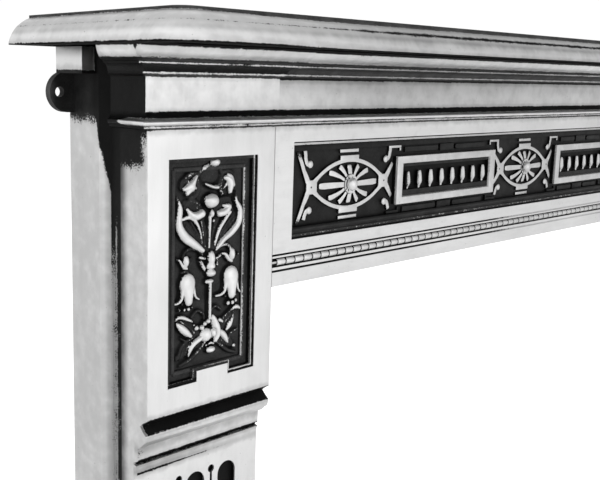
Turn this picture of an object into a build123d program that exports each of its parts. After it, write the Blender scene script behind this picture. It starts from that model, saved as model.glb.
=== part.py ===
from build123d import *
import os

# A cast-iron fireplace surround that stands on the hearth against a wall: two hollow legs, a hollow
# header between them and a moulded shelf on top, bolted together from behind.
# Millimetres. X runs across the front, +Y into the wall, +Z up from the floor.

# Driving dimensions
OPENING_WIDTH = 965.0
OPENING_HEIGHT = 965.0
HEADER_HEIGHT = 177.3
LEG_WIDTH = 120.0
LEG_DEPTH = 93.0
SHELF_OVERHANG_FRONT = 90.0
SHELF_OVERHANG_SIDE = 48.0
SHELF_HEIGHT = 20.5
METAL = 6.0
HEADER_SET_BACK = 0.8
HEADER_DEPTH = 40.0

# Cornice shared by legs and header, as (projection at foot, height, bulge) from the top down
CORNICE_PROJECTION = 38.0
FASCIA_PROJECTION = 2.0
FASCIA_HEIGHT = 22.8
BEAD_HEIGHT = 3.2
CORNICE_MEMBERS = (
    (26.0, 9.0, 1.6),
    (20.0, 1.2, 0),
    (20.0, 1.2, 0),
    (9.0, 4.9, -1.5),
    (9.0, 1.5, 0),
    (FASCIA_PROJECTION, 1.6, 0),
    (FASCIA_PROJECTION, FASCIA_HEIGHT, 0),
    (9.0, 5.4, -1.5),
    (9.0, BEAD_HEIGHT, 1.5),
    (5.5, 0.7, 0),
    (5.5, 1.5, 0),
    (0.0, 1.5, 0),
)
CORNICE_HEIGHT = sum(height for _, height, _ in CORNICE_MEMBERS)
CORNICE_RETURN = 40.5

# Hollow behind the cornice, as (projection, drop below the seat), down to its foot above the cornice's
CORNICE_HOLLOW = ((18.0, 8.0), (13.5, 10.5), (3.0, 17.0), (-4.0, 20.0))
CORNICE_HOLLOW_FOOT = 7.0

# Header frieze and the bands under it
FRIEZE_TOP_DROP = 66.8
FRIEZE_END_MARGIN = 20.4
FRIEZE_LEDGE = 7.5
FRIEZE_END_LEDGE = 4.0
FRIEZE_LEDGE_DEPTH = 3.0
FRIEZE_DEPTH = 6.0
FRIEZE_RAIL_DEPTH = 1.2
FRIEZE_TOP_RAIL = (1.0, 1.6)
FRIEZE_FOOT_RAILS = ((1.5, 2.1), (6.2, 2.7))
FOOT_BAND = 11.1
FOOT_GROOVE = 1.8
FOOT_FILLET = 2.1
BILLET_CHANNEL = 7.3
HEAD_FILLET = 1.4
HEAD_GROOVE = 1.6
HEAD_BAND = 9.6
BAND_GROOVE_DEPTH = 1.2
BILLET_CHANNEL_DEPTH = 2.2
BILLET_CORE_RADIUS = 1.6

# Leg plan: rounded front edges, then on the side a face, a sunk groove, a bevel and a back strip
OUTER_EDGE_RADIUS = 1.5
INNER_EDGE_RADIUS = 2.0
SIDE_FACE = 30.0
SIDE_GROOVE = 19.0
SIDE_GROOVE_DEPTH = 6.0
SIDE_BEVEL = 7.0

# Leg front: sunk panel, the moulding below it, fluted shaft and plinth
PANEL_MARGIN = 18.4
PANEL_DROP = 74.5
PANEL_HEIGHT = 162.0
PANEL_TAB_WIDTH = 30.0
PANEL_TAB_HEIGHT = 8.0
PANEL_STEPS = ((0.0, 1.4), (2.4, 5.5))
PANEL_BORDER = 9.8
PANEL_DEPTH = 7.0
DIE_DROP = 255.5
SHAFT_SET_BACK = 14.0
SHAFT_MEMBERS = (
    (0.6, 0.8, 0),
    (8.0, 5.2, -0.4),
    (1.2, 5.8, -0.3),
    (1.5, 2.3, 0.3),
    (5.0, 5.1, 0.9),
    (12.4, 5.3, 0.8),
    (12.8, 10.0, 0),
    (15.5, 0.3, 0),
    (15.5, 2.3, 0),
    (12.4, 0.3, 0),
    (SHAFT_SET_BACK, 5.5, -0.6),
)
PLINTH_HEIGHT = 150.0
PLINTH_SLOPE = 12.0
FLUTE_COUNT = 3
FLUTE_WIDTH = 18.2
FLUTE_PITCH = 31.8
FLUTE_DEPTH = 4.0
FLUTE_SHIFT = 3.6
FLUTE_DROP = 314.3
FLUTE_FOOT_MARGIN = 28.0
KEY_RISE = 1.3
KEY_HEAD_RADIUS = 3.1
KEY_STEM_WIDTH = 2.2

# Wall lugs and the block under the shelf ends
LUG_REACH = 20.0
LUG_RADIUS = 14.5
LUG_THICKNESS = 6.0
LUG_HOLE_RADIUS = 3.65
LUG_HOLE_INSET = 8.0
UPPER_LUG_DROP = 31.5
LOWER_LUG_HEIGHT = 240.0
BLOCK_REACH = 11.0
BLOCK_HEIGHT = 18.3
BLOCK_DEPTH = 33.5

# Shelf edge, as (set back at head, height, bulge) from the seat up
SHELF_CORNER_RADIUS = 27.0
SHELF_EDGE = (
    (0.0, 1.8, 0),
    (6.9, 11.2, 0.9),
    (7.5, 0.3, 0),
    (16.2, 5.3, 0.5),
)
SHELF_HOLLOW_HEIGHT = 13.0
SHELF_RIM = 22.0
SHELF_WEB_FRONT = 46.0
SHELF_WEB_BACK = 20.0

# Fasteners: M8 hexagon bolts, washers and nuts
BOLT_RADIUS = 4.0
BOLT_CLEARANCE = 0.5
THREAD_CLEARANCE = 0.3
HEX_ACROSS_FLATS = 13.0
BOLT_HEAD_HEIGHT = 5.3
NUT_HEIGHT = 6.8
WASHER_RADIUS = 8.0
WASHER_THICKNESS = 1.6
BOLT_TIP = 3.0
BOLT_LINE = 26.0
JOINT_BOLT_DROPS = (40.0, 150.0)
SHELF_BOLT_COUNT = 3
SHELF_BOLT_PITCH = 400.0
BOSS_RADIUS = 10.0
BOSS_THREAD_DEPTH = 11.0

# Places worked out from the driving dimensions, and how far cutting solids run past what they cut
BODY_WIDTH = OPENING_WIDTH + 2 * LEG_WIDTH
SHELF_WIDTH = BODY_WIDTH + 2 * SHELF_OVERHANG_SIDE
SHELF_DEPTH = LEG_DEPTH + SHELF_OVERHANG_FRONT
SEAT = OPENING_HEIGHT + HEADER_HEIGHT
WALL_Y = SHELF_DEPTH / 2
FACE_Y = WALL_Y - LEG_DEPTH
BOLT_Y = FACE_Y + BOLT_LINE
OVERRUN = 5.0
HOLE_CUT = 4 * METAL


def block(x, y, z):
    """A box between two ends along each axis."""
    size = [high - low for low, high in (x, y, z)]
    middle = [(high + low) / 2 for low, high in (x, y, z)]
    return Pos(*middle) * Box(*size)


def outline(corners):
    """A closed face through (u, v, bulge) corners; the bulge is the arc from the corner before."""
    edges = []
    for before, corner in zip(corners, corners[1:] + corners[:1]):
        start, end, bulge = before[:2], corner[:2], corner[2]
        edges.append(SagittaArc(start, end, bulge) if bulge else Line(start, end))
    return make_face(edges)


def run_down(start, members):
    """Corners of moulding members that follow each other down from a drop of zero."""
    corners = [(start, 0.0, 0)]
    drop = 0.0
    for projection, height, bulge in members:
        drop += height
        corners.append((projection, -drop, bulge))
    return corners


def along_front(face, x, y, z):
    """A profile of (forward, up) run along X between two ends, hung from a point."""
    low, high = x
    plane = Plane(origin=(high, y, z), x_dir=(0, -1, 0), z_dir=(-1, 0, 0))
    return extrude(plane * face, amount=high - low)


def along_side(face, x, y, z):
    """A profile of (outward to -X, up) run along Y between two ends, hung from a point."""
    low, high = y
    plane = Plane(origin=(x, low, z), x_dir=(-1, 0, 0), z_dir=(0, 1, 0))
    return extrude(plane * face, amount=high - low)


def cornice_face(backing):
    corners = run_down(CORNICE_PROJECTION, CORNICE_MEMBERS)
    return outline(corners + [(-backing, -CORNICE_HEIGHT, 0), (-backing, 0.0, 0)])


def cornice_hollow_face(backing):
    foot = CORNICE_HEIGHT - CORNICE_HOLLOW_FOOT
    corners = [(projection, -drop, 0) for projection, drop in CORNICE_HOLLOW]
    corners += [(CORNICE_HOLLOW[-1][0], -foot, 0), (-backing, -foot, 0), (-backing, -METAL, 0)]
    return outline(corners + [(CORNICE_HOLLOW[0][0], -METAL, 0)])


def stepped_recess(face, steps, place):
    """Cutting solid for a sunk panel whose floor falls in steps of (inset, depth)."""
    cutter = Part()
    for inset, depth in steps:
        step = offset(face, -inset, kind=Kind.INTERSECTION) if inset else face
        cutter += extrude(place * step, amount=-depth)
    return cutter


def front_plane(x, y, z):
    """Sketch plane on a front: sketch x runs to +X, sketch y up, normal out of the front."""
    return Plane(origin=(x, y, z), x_dir=(1, 0, 0), z_dir=(0, -1, 0))


def lug(height):
    """Wall lug in the leg's own frame, with its hole; the wall plane is its back."""
    middle = LUG_RADIUS - LUG_REACH
    ear = Pos(middle, 0) * Circle(LUG_RADIUS) + Pos(middle / 2, 0) * Rectangle(-middle, 2 * LUG_RADIUS)
    ear -= Pos(LUG_HOLE_INSET - LUG_REACH, 0) * Circle(LUG_HOLE_RADIUS)
    plate = extrude(front_plane(0, LEG_DEPTH, height) * ear, amount=LUG_THICKNESS)
    return plate & block((-2 * LUG_REACH, METAL), (0, LEG_DEPTH), (0, SEAT))


def leg_plan():
    groove_end = SIDE_FACE + SIDE_GROOVE
    plan = make_face(Polyline(
        (0, 0), (LEG_WIDTH, 0), (LEG_WIDTH, LEG_DEPTH), (0, LEG_DEPTH), (0, groove_end + SIDE_BEVEL),
        (SIDE_GROOVE_DEPTH, groove_end), (SIDE_GROOVE_DEPTH, SIDE_FACE), (0, SIDE_FACE), close=True))
    for end, radius in ((0, OUTER_EDGE_RADIUS), (-1, INNER_EDGE_RADIUS)):
        plan = fillet(plan.vertices().group_by(Axis.Y)[0].sort_by(Axis.X)[end], radius)
    return plan


def leg_hollow(front, low, high):
    """Open back of the leg between two heights, with its front wall's inside at a depth."""
    side = SIDE_GROOVE_DEPTH + METAL
    turn = SIDE_FACE + SIDE_GROOVE + METAL
    plan = Polyline(
        (side, front), (LEG_WIDTH - METAL, front), (LEG_WIDTH - METAL, LEG_DEPTH + OVERRUN),
        (METAL, LEG_DEPTH + OVERRUN), (METAL, turn + METAL), (side, turn), close=True)
    return Pos(0, 0, low) * extrude(make_face(plan), amount=high - low)


def leg_cornice():
    """Cornice across the leg's front, mitred round its outer corner and back along its side.

    The side run ends at 45 degrees, so each member stops before the one under it.
    """
    face = cornice_face(METAL)
    reach = CORNICE_PROJECTION
    front = along_front(face, (0, LEG_WIDTH), 0, SEAT)
    side = along_side(face, 0, (0, CORNICE_RETURN), SEAT)
    corner = along_front(face, (-reach, METAL), 0, SEAT) & along_side(face, 0, (-reach, METAL), SEAT)
    back = (-CORNICE_RETURN, CORNICE_RETURN)
    beyond = make_face(Polyline((0, CORNICE_RETURN), (-CORNICE_RETURN, 0), back, close=True))
    end = Pos(0, 0, SEAT - CORNICE_HEIGHT) * extrude(beyond, amount=CORNICE_HEIGHT)
    return front + side + corner - end


def flutes():
    """Round-ended flutes and the keyhole lines between them, as a cutting solid."""
    low = PLINTH_HEIGHT + FLUTE_FOOT_MARGIN
    high = SEAT - FLUTE_DROP
    place = front_plane(LEG_WIDTH / 2 - FLUTE_SHIFT, SHAFT_SET_BACK, (low + high) / 2)
    sunk = Sketch() + [
        Pos(spot.X, 0) * SlotOverall(high - low, FLUTE_WIDTH, rotation=90)
        for spot in (location.position for location in GridLocations(FLUTE_PITCH, 1, FLUTE_COUNT, 1))]
    head = (high - low) / 2 + KEY_RISE - KEY_HEAD_RADIUS
    for spot in GridLocations(FLUTE_PITCH, 1, FLUTE_COUNT - 1, 1):
        sunk += spot * Rectangle(KEY_STEM_WIDTH, 2 * head)
        sunk += [spot * Pos(0, end) * Circle(KEY_HEAD_RADIUS) for end in (-head, head)]
    return extrude(place * sunk, amount=-FLUTE_DEPTH)


def shaft_relief():
    """What is cut from the front below the die: the moulding, the set-back shaft, the plinth slope."""
    die_foot = SEAT - DIE_DROP
    slope_head = PLINTH_HEIGHT + PLINTH_SLOPE
    corners = [(-depth, die_foot + drop, bulge) for depth, drop, bulge in run_down(0.0, SHAFT_MEMBERS)]
    corners += [(-SHAFT_SET_BACK, slope_head, 0), (0.0, PLINTH_HEIGHT, 0),
                (OVERRUN, PLINTH_HEIGHT, 0), (OVERRUN, die_foot, 0)]
    return along_front(outline(corners), (-OVERRUN, LEG_WIDTH + OVERRUN), 0, 0)


def left_leg():
    """Leg in its own frame: x from its outer side, y from its front face, z from the floor."""
    body = extrude(leg_plan(), amount=SEAT)
    body -= shaft_relief()
    body += leg_cornice()
    body += block((-BLOCK_REACH, METAL), (LEG_DEPTH - BLOCK_DEPTH, LEG_DEPTH), (SEAT - BLOCK_HEIGHT, SEAT))
    body += lug(SEAT - UPPER_LUG_DROP) + lug(LOWER_LUG_HEIGHT)

    panel = Rectangle(LEG_WIDTH - 2 * PANEL_MARGIN, PANEL_HEIGHT)
    tab = Pos(0, (PANEL_TAB_HEIGHT - PANEL_HEIGHT) / 2) * Rectangle(PANEL_TAB_WIDTH, PANEL_TAB_HEIGHT)
    place = front_plane(LEG_WIDTH / 2, 0, SEAT - PANEL_DROP - PANEL_HEIGHT / 2)
    body -= stepped_recess(panel - tab, PANEL_STEPS, place)
    body -= extrude(place * offset(panel, -PANEL_BORDER, kind=Kind.INTERSECTION), amount=-PANEL_DEPTH)
    body -= flutes()

    die_foot = SEAT - DIE_DROP
    shaft_wall = SHAFT_SET_BACK + FLUTE_DEPTH + METAL
    body -= leg_hollow(PANEL_DEPTH + METAL, die_foot + METAL, SEAT - METAL)
    body -= leg_hollow(shaft_wall, PLINTH_HEIGHT - METAL, die_foot + METAL)
    body -= leg_hollow(METAL, -OVERRUN, PLINTH_HEIGHT - METAL)
    body -= along_front(cornice_hollow_face(LEG_DEPTH / 2), (METAL, LEG_WIDTH - METAL), 0, SEAT)

    for drop in JOINT_BOLT_DROPS:
        hole = Cylinder(BOLT_RADIUS + BOLT_CLEARANCE, HOLE_CUT, rotation=(0, 90, 0))
        body -= Pos(LEG_WIDTH, BOLT_LINE, SEAT - drop) * hole
    body -= Pos(LEG_WIDTH / 2, BOLT_LINE, SEAT) * Cylinder(BOLT_RADIUS + BOLT_CLEARANCE, HOLE_CUT)
    return Pos(-BODY_WIDTH / 2, FACE_Y, 0) * body


def header():
    """Header between the legs: cornice, sunk frieze, billet channel and a returned foot."""
    half = OPENING_WIDTH / 2
    front = FACE_Y + HEADER_SET_BACK
    ends = (-half, half)
    corners = run_down(CORNICE_PROJECTION, CORNICE_MEMBERS)
    corners += [(0.0, -HEADER_HEIGHT, 0), (-HEADER_DEPTH, -HEADER_HEIGHT, 0), (-HEADER_DEPTH, 0.0, 0)]
    body = along_front(outline(corners), ends, front, SEAT)

    frieze_foot = OPENING_HEIGHT + FOOT_BAND + FOOT_GROOVE + FOOT_FILLET + BILLET_CHANNEL
    frieze_foot += HEAD_FILLET + HEAD_GROOVE + HEAD_BAND
    frieze_head = SEAT - FRIEZE_TOP_DROP
    frieze_half = half - FRIEZE_END_MARGIN
    frieze = (-frieze_half, frieze_half)
    body -= block(frieze, (front - OVERRUN, front + FRIEZE_LEDGE_DEPTH), (frieze_foot, frieze_head))
    ground = (FRIEZE_END_LEDGE - frieze_half, frieze_half - FRIEZE_END_LEDGE)
    body -= block(ground, (front, front + FRIEZE_DEPTH), (frieze_foot + FRIEZE_LEDGE, frieze_head - FRIEZE_LEDGE))
    rail_depth = (front + FRIEZE_RAIL_DEPTH, front + FRIEZE_LEDGE_DEPTH)
    margin, width = FRIEZE_TOP_RAIL
    body += block(frieze, rail_depth, (frieze_head - margin - width, frieze_head - margin))
    for margin, width in FRIEZE_FOOT_RAILS:
        body += block(frieze, rail_depth, (frieze_foot + margin, frieze_foot + margin + width))

    groove_low = OPENING_HEIGHT + FOOT_BAND
    channel_low = groove_low + FOOT_GROOVE + FOOT_FILLET
    head_groove_low = channel_low + BILLET_CHANNEL + HEAD_FILLET
    for low, height, depth in ((groove_low, FOOT_GROOVE, BAND_GROOVE_DEPTH),
                               (channel_low, BILLET_CHANNEL, BILLET_CHANNEL_DEPTH),
                               (head_groove_low, HEAD_GROOVE, BAND_GROOVE_DEPTH)):
        body -= block(ends, (front - OVERRUN, front + depth), (low, low + height))
    core = Cylinder(BILLET_CORE_RADIUS, OPENING_WIDTH, rotation=(0, 90, 0))
    body += Pos(0, front + BILLET_CHANNEL_DEPTH, channel_low + BILLET_CHANNEL / 2) * core

    inner = (METAL - half, half - METAL)
    body -= along_front(cornice_hollow_face(HEADER_DEPTH + OVERRUN), inner, front, SEAT)
    hollow_y = (front + FRIEZE_DEPTH + METAL, front + HEADER_DEPTH + OVERRUN)
    body -= block(inner, hollow_y, (OPENING_HEIGHT + METAL, SEAT - METAL))

    for side in (-1, 1):
        for drop in JOINT_BOLT_DROPS:
            hole = Cylinder(BOLT_RADIUS + BOLT_CLEARANCE, HOLE_CUT, rotation=(0, 90, 0))
            body -= Pos(side * half, BOLT_Y, SEAT - drop) * hole
    for spot in GridLocations(SHELF_BOLT_PITCH, 1, SHELF_BOLT_COUNT, 1):
        body -= Pos(0, BOLT_Y, SEAT) * spot * Cylinder(BOLT_RADIUS + BOLT_CLEARANCE, HOLE_CUT)
    return body


def shelf_bolt_spots():
    """Places of the bolts that hold the shelf down: one in each leg, the rest along the header."""
    leg_x = (OPENING_WIDTH + LEG_WIDTH) / 2
    across = [spot.position.X for spot in GridLocations(SHELF_BOLT_PITCH, 1, SHELF_BOLT_COUNT, 1)]
    return [Pos(x, BOLT_Y, SEAT) for x in [-leg_x, *across, leg_x]]


def shelf_edge_face(inner):
    """Moulded edge as (outward, up), with its inner side at a distance behind the widest line."""
    corners = [(inner, 0.0, 0)]
    rise = 0.0
    for set_back, height, bulge in SHELF_EDGE:
        rise += height
        corners.append((inner - set_back, rise, -bulge))
    rim = inner - SHELF_EDGE[-1][0]
    return outline(corners + [(rim, SHELF_HEIGHT, 0), (0.0, SHELF_HEIGHT, 0), (0.0, 0.0, 0)])


def mantel_shelf():
    half = SHELF_WIDTH / 2
    radius = SHELF_CORNER_RADIUS
    face = shelf_edge_face(radius)
    front = -SHELF_DEPTH / 2 + radius
    body = along_front(face, (radius - half, half - radius), front, SEAT)
    body += block((radius - half, half - radius), (front, WALL_Y), (SEAT, SEAT + SHELF_HEIGHT))
    left = along_side(face, radius - half, (front, WALL_Y), SEAT)
    upright = Plane(origin=(radius - half, front, SEAT), x_dir=(-1, 0, 0), z_dir=(0, 1, 0))
    left += revolve(upright * face, Axis((radius - half, front, SEAT), (0, 0, 1)), 90)
    body += left + mirror(left, Plane.YZ)

    hollow_z = (SEAT - OVERRUN, SEAT + SHELF_HOLLOW_HEIGHT)
    ends = (SHELF_RIM - half, half - SHELF_RIM)
    body -= block(ends, (SHELF_RIM - SHELF_DEPTH / 2, -SHELF_WEB_FRONT), hollow_z)
    body -= block(ends, (-SHELF_WEB_BACK, WALL_Y - METAL), hollow_z)
    for spot in shelf_bolt_spots():
        body += spot * Pos(0, 0, SHELF_HOLLOW_HEIGHT / 2) * Cylinder(BOSS_RADIUS, SHELF_HOLLOW_HEIGHT)
        thread = Cylinder(BOLT_RADIUS + THREAD_CLEARANCE, 2 * BOSS_THREAD_DEPTH)
        body -= spot * thread
    return body


def bolt(grip, length):
    """Hexagon bolt along +Z: its head's bearing face at zero, its shank rising from it."""
    hexagon = RegularPolygon(HEX_ACROSS_FLATS / 2, 6, major_radius=False)
    return extrude(hexagon, amount=-BOLT_HEAD_HEIGHT) + extrude(Circle(BOLT_RADIUS), amount=grip + length)


def washer():
    return extrude(Circle(WASHER_RADIUS) - Circle(BOLT_RADIUS + BOLT_CLEARANCE), amount=WASHER_THICKNESS)


def nut():
    hexagon = RegularPolygon(HEX_ACROSS_FLATS / 2, 6, major_radius=False)
    return extrude(hexagon - Circle(BOLT_RADIUS + THREAD_CLEARANCE), amount=NUT_HEIGHT)


def joint_spots():
    """Seats of the joint bolts inside the header, with +Z pointing out into each leg."""
    inside = OPENING_WIDTH / 2 - METAL - WASHER_THICKNESS
    return [
        Pos(side * inside, BOLT_Y, SEAT - drop) * Rot(0, side * 90, 0)
        for side in (-1, 1) for drop in JOINT_BOLT_DROPS]


def joint_fasteners():
    """Bolts, washers and nuts that clamp the header's end flanges to the legs."""
    stack = 2 * METAL
    far_washer = WASHER_THICKNESS + stack
    grip = far_washer + WASHER_THICKNESS
    spots = joint_spots()
    return {
        "joint_bolts": [spot * bolt(grip, NUT_HEIGHT + BOLT_TIP) for spot in spots],
        "joint_washers": [spot * Pos(0, 0, rise) * washer() for spot in spots for rise in (0, far_washer)],
        "joint_nuts": [spot * Pos(0, 0, grip) * nut() for spot in spots],
    }


def shelf_fasteners():
    """Bolts and washers under the top flanges, screwed up into the shelf's bosses."""
    grip = METAL + WASHER_THICKNESS
    seats = [spot * Pos(0, 0, -grip) for spot in shelf_bolt_spots()]
    return {
        "shelf_bolts": [seat * bolt(grip, BOSS_THREAD_DEPTH - BOLT_CLEARANCE) for seat in seats],
        "shelf_washers": [seat * washer() for seat in seats],
    }


def main():
    leg = left_leg()
    nodes = {
        "left_leg": leg,
        "right_leg": mirror(leg, Plane.YZ),
        "header": header(),
        "mantel_shelf": mantel_shelf(),
    }
    for name, solids in {**joint_fasteners(), **shelf_fasteners()}.items():
        nodes[name] = Compound(children=solids)
    os.makedirs("parts", exist_ok=True)
    for name, shape in nodes.items():
        export_step(shape, f"parts/{name}.step")


main()
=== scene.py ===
import math

import bmesh
import bpy
import numpy
from mathutils import Matrix, Vector


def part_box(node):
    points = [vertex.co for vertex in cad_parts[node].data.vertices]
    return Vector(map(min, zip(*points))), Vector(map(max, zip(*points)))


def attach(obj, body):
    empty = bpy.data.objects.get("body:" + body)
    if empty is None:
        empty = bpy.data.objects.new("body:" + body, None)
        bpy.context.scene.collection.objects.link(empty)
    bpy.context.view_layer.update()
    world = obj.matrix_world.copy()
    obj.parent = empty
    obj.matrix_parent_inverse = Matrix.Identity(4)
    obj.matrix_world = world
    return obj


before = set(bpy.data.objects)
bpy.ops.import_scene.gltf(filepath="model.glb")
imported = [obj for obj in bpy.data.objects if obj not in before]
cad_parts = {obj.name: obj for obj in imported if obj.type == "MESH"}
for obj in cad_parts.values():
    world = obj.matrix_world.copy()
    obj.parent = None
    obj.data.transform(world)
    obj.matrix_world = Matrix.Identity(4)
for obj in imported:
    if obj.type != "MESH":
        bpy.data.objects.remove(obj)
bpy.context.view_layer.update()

MM = 0.001

# Places of the castings, in metres
HEADER_LOW, HEADER_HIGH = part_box("header")
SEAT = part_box("mantel_shelf")[0].z
LEG_WIDTH = 0.120
HALF_WIDTH = HEADER_HIGH.x + LEG_WIDTH
LEG_AXIS = HALF_WIDTH - LEG_WIDTH / 2
HEADER_DEPTH = 0.040
HEADER_SET_BACK = 0.0008
FACE = HEADER_HIGH.y - HEADER_DEPTH - HEADER_SET_BACK

# Polished bands of the cornice, in millimetres: (top and foot below the shelf's seat, how far back)
LEG_CORNICE_BANDS = (
    (1.0, 7.7, 18.5),
    (10.4, 11.3, -18.5),
    (16.5, 17.6, -7.5),
    (19.6, 42.2, -1.0),
    (46.4, 51.4, 21),
    (51.9, 52.9, -4.0),
)
HEADER_CORNICE_BANDS = (
    (1.4, 8.1, 26),
    (10.5, 11.5, 0),
    (16.5, 17.6, 0),
    (20.4, 42.2, 0),
    (46.6, 50.6, 0),
    (51.7, 52.8, 0),
)
BODY_TOP = 54.5


# Shader arithmetic ------------------------------------------------------------------------------

FLOAT = "NodeSocketFloat"
VECTOR = "NodeSocketVector"


class Value:
    """A number that shader nodes work out over the surface."""

    def __init__(self, tree, socket):
        self.tree = tree
        self.socket = socket

    def math(self, operation, *others):
        """Works the others in, one after another."""
        result = self
        for other in others:
            node = self.tree.nodes.new("ShaderNodeMath")
            node.operation = operation
            plug(self.tree, result, node.inputs[0])
            plug(self.tree, other, node.inputs[1])
            result = Value(self.tree, node.outputs[0])
        return result

    def __add__(self, other):
        return self.math("ADD", other)

    def __sub__(self, other):
        return self.math("SUBTRACT", other)

    def __rsub__(self, other):
        return self * -1 + other

    def __mul__(self, other):
        return self.math("MULTIPLY", other)

    def __abs__(self):
        return self.math("ABSOLUTE", 0.0)

    def least(self, *others):
        return self.math("MINIMUM", *others)

    def most(self, *others):
        return self.math("MAXIMUM", *others)

    def within(self, low, high):
        """Distance inside a band, negative outside it."""
        return (self - low).least(high - self)

    def ramp(self, low, high, start=0.0, end=1.0):
        """A smooth change from start to end while the number goes from low to high."""
        node = self.tree.nodes.new("ShaderNodeMapRange")
        node.interpolation_type = "SMOOTHSTEP"
        for slot, value in zip(("Value", "From Min", "From Max", "To Min", "To Max"),
                               (self, low, high, start, end)):
            plug(self.tree, value, node.inputs[slot])
        return Value(self.tree, node.outputs[0])


def plug(tree, value, slot):
    """Joins a worked-out number to a socket, or sets a plain one."""
    if isinstance(value, Value):
        tree.links.new(value.socket, slot)
    else:
        slot.default_value = value


def noise(tree, vector, scale, detail=3.0, stretch=None, roughness=0.6):
    """Fractal noise over object space, scale in waves per metre."""
    if stretch:
        mapping = tree.nodes.new("ShaderNodeMapping")
        mapping.inputs["Scale"].default_value = stretch
        tree.links.new(vector, mapping.inputs["Vector"])
        vector = mapping.outputs[0]
    node = tree.nodes.new("ShaderNodeTexNoise")
    node.inputs["Scale"].default_value = scale
    node.inputs["Detail"].default_value = detail
    node.inputs["Roughness"].default_value = roughness
    tree.links.new(vector, node.inputs["Vector"])
    return Value(tree, node.outputs["Fac"])


def grey(tree, level):
    """A colour with this much of red, green and blue."""
    joined = tree.nodes.new("ShaderNodeCombineColor")
    for slot in joined.inputs:
        plug(tree, level, slot)
    return joined.outputs[0]


def new_group(name, inputs, outputs):
    """An empty node group with named sockets."""
    tree = bpy.data.node_groups.new(name, "ShaderNodeTree")
    for label, kind, value in inputs:
        socket = tree.interface.new_socket(name=label, in_out="INPUT", socket_type=kind)
        if value is not None:
            socket.default_value = value
    for label, kind in outputs:
        tree.interface.new_socket(name=label, in_out="OUTPUT", socket_type=kind)
    return tree, tree.nodes.new("NodeGroupInput"), tree.nodes.new("NodeGroupOutput")


def paint_edge_group():
    """Where the polishing stops: a distance in millimetres turned into a ragged, speckled mask."""
    tree, given, made = new_group(
        "polish_edge",
        (("Distance", FLOAT, 0.0), ("Coordinates", VECTOR, None), ("Raggedness", FLOAT, 1.0)),
        (("Polish", FLOAT), ("Residue", FLOAT)))
    where = given.outputs["Coordinates"]
    distance = Value(tree, given.outputs["Distance"])
    ragged = Value(tree, given.outputs["Raggedness"])
    grain = noise(tree, where, 900, 2.0) - 0.5
    drift = noise(tree, where, 95, 2.0) - 0.5
    patch = noise(tree, where, 38, 2.0).ramp(0.35, 0.65, 0.7, 1.6)
    edge = distance + (grain * 3.4 + drift * 2.2) * ragged * patch
    tree.links.new(edge.ramp(-0.18, 0.22).socket, made.inputs["Polish"])
    residue = (distance + drift * 6).ramp(0.3, 5.0, 0.26, 0.0)
    tree.links.new(residue.socket, made.inputs["Residue"])
    return tree


def cast_iron_group():
    """Bright hand-polished iron where Polish is 1, black-leaded sand casting where it is 0."""
    tree, given, made = new_group(
        "cast_iron",
        (("Polish", FLOAT, 1.0), ("Coordinates", VECTOR, None), ("Strokes", VECTOR, (1, 1, 1)),
         ("Black", FLOAT, 0.01), ("Tarnish_and_painted_light", FLOAT, 0.0), ("Metal", FLOAT, 0.93), ("Matt", FLOAT, 0.0)),
        (("Color", "NodeSocketColor"), ("Metallic", FLOAT), ("Roughness", FLOAT), ("Normal", VECTOR)))
    where = given.outputs["Coordinates"]
    polish, tarnish_and_painted_light, plain_black, metal, extra_matt = (
        Value(tree, given.outputs[label]) for label in ("Polish", "Tarnish_and_painted_light", "Black", "Metal", "Matt"))
    scaled = tree.nodes.new("ShaderNodeVectorMath")
    scaled.operation = "MULTIPLY"
    tree.links.new(where, scaled.inputs[0])
    tree.links.new(given.outputs["Strokes"], scaled.inputs[1])
    strokes = noise(tree, scaled.outputs[0], 260, 3.0)
    broad = noise(tree, scaled.outputs[0], 34, 2.0)
    cloud = noise(tree, where, 14, 2.0)
    pits = noise(tree, where, 620, 1.0)
    sand = noise(tree, where, 900, 3.0)
    lump = noise(tree, where, 70, 2.0)

    tone = (strokes - 0.5) * 0.10 + (broad - 0.5) * 0.16 + (cloud - 0.5) * 0.18
    bright = tone.ramp(-0.16, 0.16, 0.62, 0.80)
    pitted = pits.ramp(0.775, 0.81)
    # This input dims the polish: real dulling, painted shade and, below zero, painted highlights.
    bright = bright * (pitted * -0.6 + 1.0) * (1.0 - tarnish_and_painted_light)
    black = (sand * 0.5 + lump * 0.5).ramp(0.3, 0.75, 0.5, 1.5) * plain_black
    level = bright * polish + black * (1.0 - polish)
    tree.links.new(grey(tree, level), made.inputs["Color"])
    tree.links.new((polish * metal).socket, made.inputs["Metallic"])
    dull = strokes.ramp(0.3, 0.7, 0.30, 0.42) * polish
    matt = (sand.ramp(0.3, 0.7, 0.46, 0.60) + extra_matt) * (1.0 - polish)
    tree.links.new((dull + matt).socket, made.inputs["Roughness"])
    relief = (sand * 0.6 + lump * 2.0) * (polish * -0.93 + 1.0) + strokes * 0.06 - pitted * 0.4
    bump = tree.nodes.new("ShaderNodeBump")
    bump.inputs["Distance"].default_value = 0.00035
    bump.inputs["Strength"].default_value = 0.55
    tree.links.new(relief.socket, bump.inputs["Height"])
    tree.links.new(bump.outputs[0], made.inputs["Normal"])
    return tree


POLISH_EDGE = paint_edge_group()
CAST_IRON = cast_iron_group()


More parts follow.
